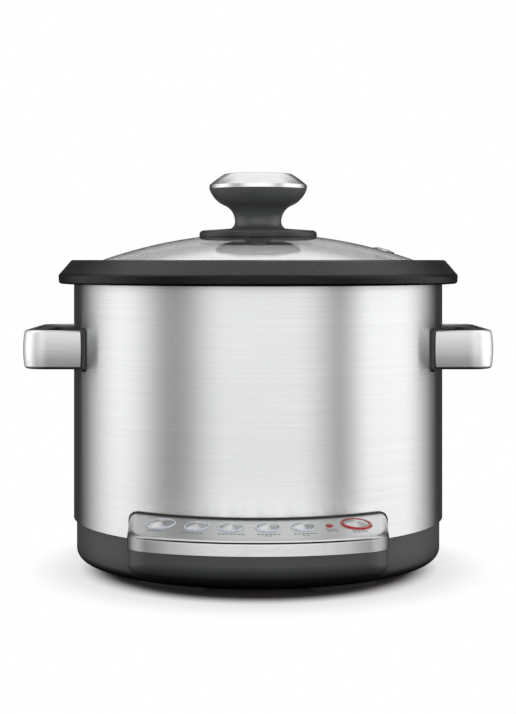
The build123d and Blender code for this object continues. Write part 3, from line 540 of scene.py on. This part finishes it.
def panel_silver():
    """Satin silver; painted light makes the top lighter to the right, and painted shade darkens the
    front band's ends and parting line.
    """
    shader = Shader("panel_silver_cover", Metallic=1.0)
    fine = shader.noise((70, 1400, 1700), 4.0, 0.65)
    split = shader.add("SeparateXYZ", Vector=shader.add("TexCoord").outputs["Object"])
    painted_light_rightward = shader.span(split.outputs["X"], 0.0, 1.0, PANEL_LOW.x, PANEL_HIGH.x)
    tone = shader.blend(painted_light_rightward, (0.50, 0.50, 0.495), (0.74, 0.74, 0.735))

    def distance_from(output, value):
        away = shader.add("Math", **{"0": output, "1": value})
        away.operation = "SUBTRACT"
        size = shader.add("Math", **{"0": away.outputs[0]})
        size.operation = "ABSOLUTE"
        return size.outputs[0]

    across = distance_from(split.outputs["X"], 0.0)
    # Painted shade darkens the front band towards its ends, and painted light makes the top lighter to
    # the right.
    sideways = shader.span(across, 0.0, 1.0, 58 * MM, 87 * MM)
    shaded_front_band = shader.blend(sideways, (0.56, 0.56, 0.555), (0.20, 0.20, 0.20))
    above = shader.span(split.outputs["Z"], 0.0, 1.0, PANEL_EDGE_Z - 1.2 * MM, PANEL_EDGE_Z + 1.5 * MM)
    satin = shader.blend(above, shaded_front_band, tone)
    satin = shader.blend(shader.span(fine, 0.0, 0.16), satin, (0.36, 0.36, 0.36))
    # The painted shade of the parting line fades out before the corners.
    line = shader.span(distance_from(split.outputs["Z"], GROOVE_Z), 1.0, 0.0, 0.35 * MM, 0.75 * MM)
    middle = shader.span(across, 1.0, 0.0, 52 * MM, 74 * MM)
    parting_shade = shader.add("Math", **{"0": line, "1": middle})
    parting_shade.operation = "MULTIPLY"
    shader.join("Base Color", shader.blend(parting_shade.outputs[0], satin, (0.02, 0.02, 0.02)))
    shader.join("Roughness", shader.span(fine, 0.27, 0.36))
    shader.bump(fine, 0.10, 0.00002)
    return shader.material


def rear_edge_path():
    """The right half of the panel's rear edge on the wall, from the foot of its side to the middle."""
    edge = PanelEdge()
    columns = [fascia_column(edge, station) for station in edge.stations]
    path = [Vector(point) for point in columns[0][1:-1]]
    path += [Vector(column[-2]) for column in columns[1:]]
    kept = path[:1]
    for point in path[1:]:
        if (point - kept[-1]).length > 0.2 * MM:
            kept.append(point)
    return kept


def panel_seal():
    """Black seal that follows the panel's rear edge along the steel wall."""
    right = rear_edge_path()
    path = right + [Vector((-point.x, point.y, point.z)) for point in right[-2::-1]]
    strip = bmesh.new()
    rings = []
    for index, point in enumerate(path):
        before = path[max(index - 1, 0)]
        after = path[min(index + 1, len(path) - 1)]
        out = Vector((point.x, point.y, 0)).normalized()
        away = out.cross(after - before).normalized() * SEAL_PROUD
        rear = point - out * (PANEL_GAP - 0.3 * MM)
        front = point + out * 0.1 * MM
        inward = away * -1.5
        ridge = front - out * 0.3 * MM + away
        ring = (front + inward, front + away * 0.7, ridge, rear + away, rear + inward)
        rings.append([strip.verts.new(corner) for corner in ring])
    for first, second in zip(rings, rings[1:]):
        for corner in range(len(first)):
            after = (corner + 1) % len(first)
            strip.faces.new((first[corner], first[after], second[after], second[corner]))
    strip.faces.new(rings[0])
    strip.faces.new(rings[-1][::-1])
    bmesh.ops.recalc_face_normals(strip, faces=strip.faces)
    piece = mesh_object("panel_seal", strip)
    smooth(piece)
    piece.data.materials.append(moulded("seal_rubber", (0.006, 0.006, 0.006), 0.6))
    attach(piece, "cooker")


# Captions are plain rows of dashes: degrees, distance in mm, and how many dashes in each row.
CAPTIONS = (
    (-23.8, 168, (4,)), (-15.0, 168, (6,)), (-5.9, 168, (7,)), (2.3, 168, (6, 2)), (10.5, 168, (6, 2)),
    (17.2, 162, (3, 3)), (23.2, 167, (4, 4)),
)
DASH = 1.9 * MM
DASH_PITCH = 2.6 * MM
DASH_ROW = 3.0 * MM


def panel_dashes():
    """Printed dashes where a panel's captions would be."""
    film = bmesh.new()
    for degrees, distance, rows in CAPTIONS:
        for row, count in enumerate(rows):
            radius = distance * MM + row * DASH_ROW
            for index in range(count):
                shift = (index - (count - 1) / 2) * DASH_PITCH
                place = panel_frame(degrees, radius) @ Matrix.Translation((shift, 0, 0.03 * MM))
                size = Matrix.Diagonal((DASH, 1.5 * MM, 0.03 * MM, 1.0))
                bmesh.ops.create_cube(film, size=1.0, matrix=place @ size)
    bmesh.ops.bevel(film, geom=list(film.edges), offset=0.01 * MM, segments=1, affect="EDGES")
    piece = mesh_object("panel_dashes", film)
    piece.data.materials.append(moulded("print_grey", (0.13, 0.13, 0.13), 0.5))
    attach(piece, "cooker")


# ---- Sensor spring --------------------------------------------------------------------------
SPRING_LOW, SPRING_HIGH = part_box("sensor_spring")
SPRING_WIRE = 0.6 * MM     # radius of the wire
SPRING_PITCH = 4.2 * MM


def sensor_spring():
    """Compression spring under the sensor's cap."""
    coil_r = SPRING_HIGH.x - SPRING_WIRE
    start = SPRING_LOW.z + SPRING_WIRE
    turns = (SPRING_HIGH.z - SPRING_WIRE - start) / SPRING_PITCH
    steps = round(turns * 48)
    around = 12
    coil = bmesh.new()
    rings = []
    for step in range(steps + 1):
        angle = 2 * math.pi * turns * step / steps
        out = Vector((math.cos(angle), math.sin(angle), 0))
        ahead = Vector((-out.y * coil_r, out.x * coil_r, SPRING_PITCH / (2 * math.pi))).normalized()
        up = out.cross(ahead)
        middle = out * coil_r + Vector((0, 0, start + SPRING_PITCH * turns * step / steps))
        ring = []
        for index in range(around):
            turn = 2 * math.pi * index / around
            side = out * math.cos(turn) + up * math.sin(turn)
            ring.append(coil.verts.new(middle + side * SPRING_WIRE))
        rings.append(ring)
    for first, second in zip(rings, rings[1:]):
        for index in range(around):
            after = (index + 1) % around
            coil.faces.new((first[index], first[after], second[after], second[index]))
    coil.faces.new(rings[0])
    coil.faces.new(rings[-1][::-1])
    bmesh.ops.recalc_face_normals(coil, faces=coil.faces)
    piece = mesh_object("sensor_coil", coil)
    smooth(piece)
    piece.data.materials.append(metal("spring_steel", (0.55, 0.55, 0.56), 0.3))
    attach(piece, "cooker")
    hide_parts("sensor_spring")
    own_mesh(piece)


# ---- Stage ----------------------------------------------------------------------------------
SOFT_BOXES = (
    # Degrees from the camera's side towards the right: dark, full, full, dark; then brightness.
    (-146, -93, -90, -38, 1.57),
    (-64, -18, 22, 70, 1.52),
    (46, 72, 96, 146, 1.66),
)
ROOM = 0.045              # brightness between the soft boxes
OVERHEAD = 1.3            # brightness of the overhead box and of the one behind the lid
SHADOW_AHEAD = 20 * MM    # the contact shadow reaches further forward, under the panel


def studio():
    """Three wide soft boxes around the object, one overhead, one behind, and a white backdrop."""
    world = bpy.data.worlds.new("studio")
    bpy.context.scene.world = world
    world.use_nodes = True
    nodes = world.node_tree.nodes
    links = world.node_tree.links
    nodes.clear()

    def math_node(operation, first, second):
        node = nodes.new("ShaderNodeMath")
        node.operation = operation
        for socket, value in zip(node.inputs, (first, second)):
            if isinstance(value, (int, float)):
                socket.default_value = value
            else:
                links.new(value, socket)
        return node.outputs[0]

    def ease(value, start, end, low=0.0, high=1.0):
        node = nodes.new("ShaderNodeMapRange")
        node.interpolation_type = "SMOOTHSTEP"
        for name, number in (("From Min", start), ("From Max", end), ("To Min", low), ("To Max", high)):
            node.inputs[name].default_value = number
        links.new(value, node.inputs["Value"])
        return node.outputs["Result"]

    direction = nodes.new("ShaderNodeSeparateXYZ")
    links.new(nodes.new("ShaderNodeTexCoord").outputs["Generated"], direction.inputs[0])
    front = math_node("MULTIPLY", direction.outputs["Y"], -1.0)
    azimuth = math_node("ARCTAN2", direction.outputs["X"], front)
    degrees = math_node("MULTIPLY", azimuth, 180 / math.pi)
    around = math_node("ADD", ROOM, 0.0)
    for start, full, last, end, level in SOFT_BOXES:
        box = math_node("MULTIPLY", ease(degrees, start, full), ease(degrees, last, end, level, 0.0))
        around = math_node("ADD", around, box)
    upward = direction.outputs["Z"]
    sideways = math_node("ABSOLUTE", direction.outputs["X"], 0.0)
    narrow = ease(sideways, 0.28, 0.45, 1.0, 0.0)
    behind = math_node("MULTIPLY", narrow, ease(direction.outputs["Y"], 0.0, 0.2))
    back_box = math_node("MULTIPLY", behind, ease(upward, 0.44, 0.58))
    overhead = math_node("MAXIMUM", ease(upward, 0.62, 0.90), back_box)
    below = ease(upward, -0.55, -0.18, 1.0, 0.0)
    top = nodes.new("ShaderNodeMix")
    links.new(overhead, top.inputs[0])
    links.new(around, top.inputs[2])
    top.inputs[3].default_value = OVERHEAD
    whole = nodes.new("ShaderNodeMix")
    links.new(below, whole.inputs[0])
    links.new(top.outputs[0], whole.inputs[2])
    whole.inputs[3].default_value = 0.0
    lit = nodes.new("ShaderNodeBackground")
    links.new(whole.outputs[0], lit.inputs["Color"])
    seen = nodes.new("ShaderNodeBackground")
    seen.inputs["Color"].default_value = (1, 1, 1, 1)
    pick = nodes.new("ShaderNodeMixShader")
    path = nodes.new("ShaderNodeLightPath")
    through = math_node("MAXIMUM", path.outputs["Is Camera Ray"], path.outputs["Is Transmission Ray"])
    links.new(through, pick.inputs[0])
    links.new(lit.outputs[0], pick.inputs[1])
    links.new(seen.outputs[0], pick.inputs[2])
    links.new(pick.outputs[0], nodes.new("ShaderNodeOutputWorld").inputs["Surface"])


def floor():
    """A round pale floor that fades out into the backdrop.

    It gives off its own light, and its contact shadow is a dark patch of that light under the body.
    """
    mesh = bpy.data.meshes.new("floor")
    disc = bmesh.new()
    bmesh.ops.create_circle(disc, cap_ends=True, radius=3.0, segments=128)
    disc.to_mesh(mesh)
    disc.free()
    piece = bpy.data.objects.new("floor", mesh)
    bpy.context.scene.collection.objects.link(piece)
    piece.visible_glossy = False
    piece.visible_diffuse = False
    shader = Shader("floor", Roughness=0.6, Specular_IOR_Level=0.0, Emission_Color=(1, 1, 1, 1))
    shifted = shader.add("VectorMath", **{"0": shader.place((1, 1, 1)), "1": (0, SHADOW_AHEAD, 0)})

    def distance_to(output):
        length = shader.add("VectorMath", **{"0": output})
        length.operation = "LENGTH"
        return length.outputs["Value"]

    def glow(distance, start, end):
        rising = shader.span(distance, 0.0, 1.0, start, end)
        rising.node.interpolation_type = "SMOOTHSTEP"
        return rising

    # The patch has a dark core and a faint wider halo.
    from_shadow = distance_to(shifted.outputs[0])
    contact = glow(from_shadow, BODY_R - 29 * MM, BODY_R - 3 * MM)
    wide = glow(from_shadow, BODY_R - 14 * MM, BODY_R + 40 * MM)
    light = shader.add("Math", **{"0": contact, "1": 0.78})
    light.operation = "MULTIPLY"
    whole = shader.add("Math", **{"0": wide, "1": 0.22, "2": light.outputs[0]})
    whole.operation = "MULTIPLY_ADD"
    shader.join("Emission Strength", whole.outputs[0])
    shader.join("Base Color", shader.blend(contact, (0.26, 0.23, 0.22), (0.0, 0.0, 0.0)))
    from_middle = distance_to(shader.place((1, 1, 1)))
    shader.join("Alpha", shader.span(from_middle, 1.0, 0.0, 0.45, 1.6))
    mesh.materials.append(shader.material)


def camera():
    """A level camera in front of the cooker, a little above the bowl's rim."""
    data = bpy.data.cameras.new("camera")
    data.lens = 77.2
    data.sensor_width = 36
    data.shift_x = -0.0002
    data.shift_y = -0.1359
    eye = bpy.data.objects.new("camera", data)
    bpy.context.scene.collection.objects.link(eye)
    eye.location = (0, -1.1555, 0.226)
    eye.rotation_euler = (math.radians(90), 0, 0)
    bpy.context.scene.camera = eye


camera()
studio()
floor()
dress()
control_panel()
panel_seal()
panel_dashes()
sensor_spring()

bpy.context.scene.view_settings.view_transform = "Standard"
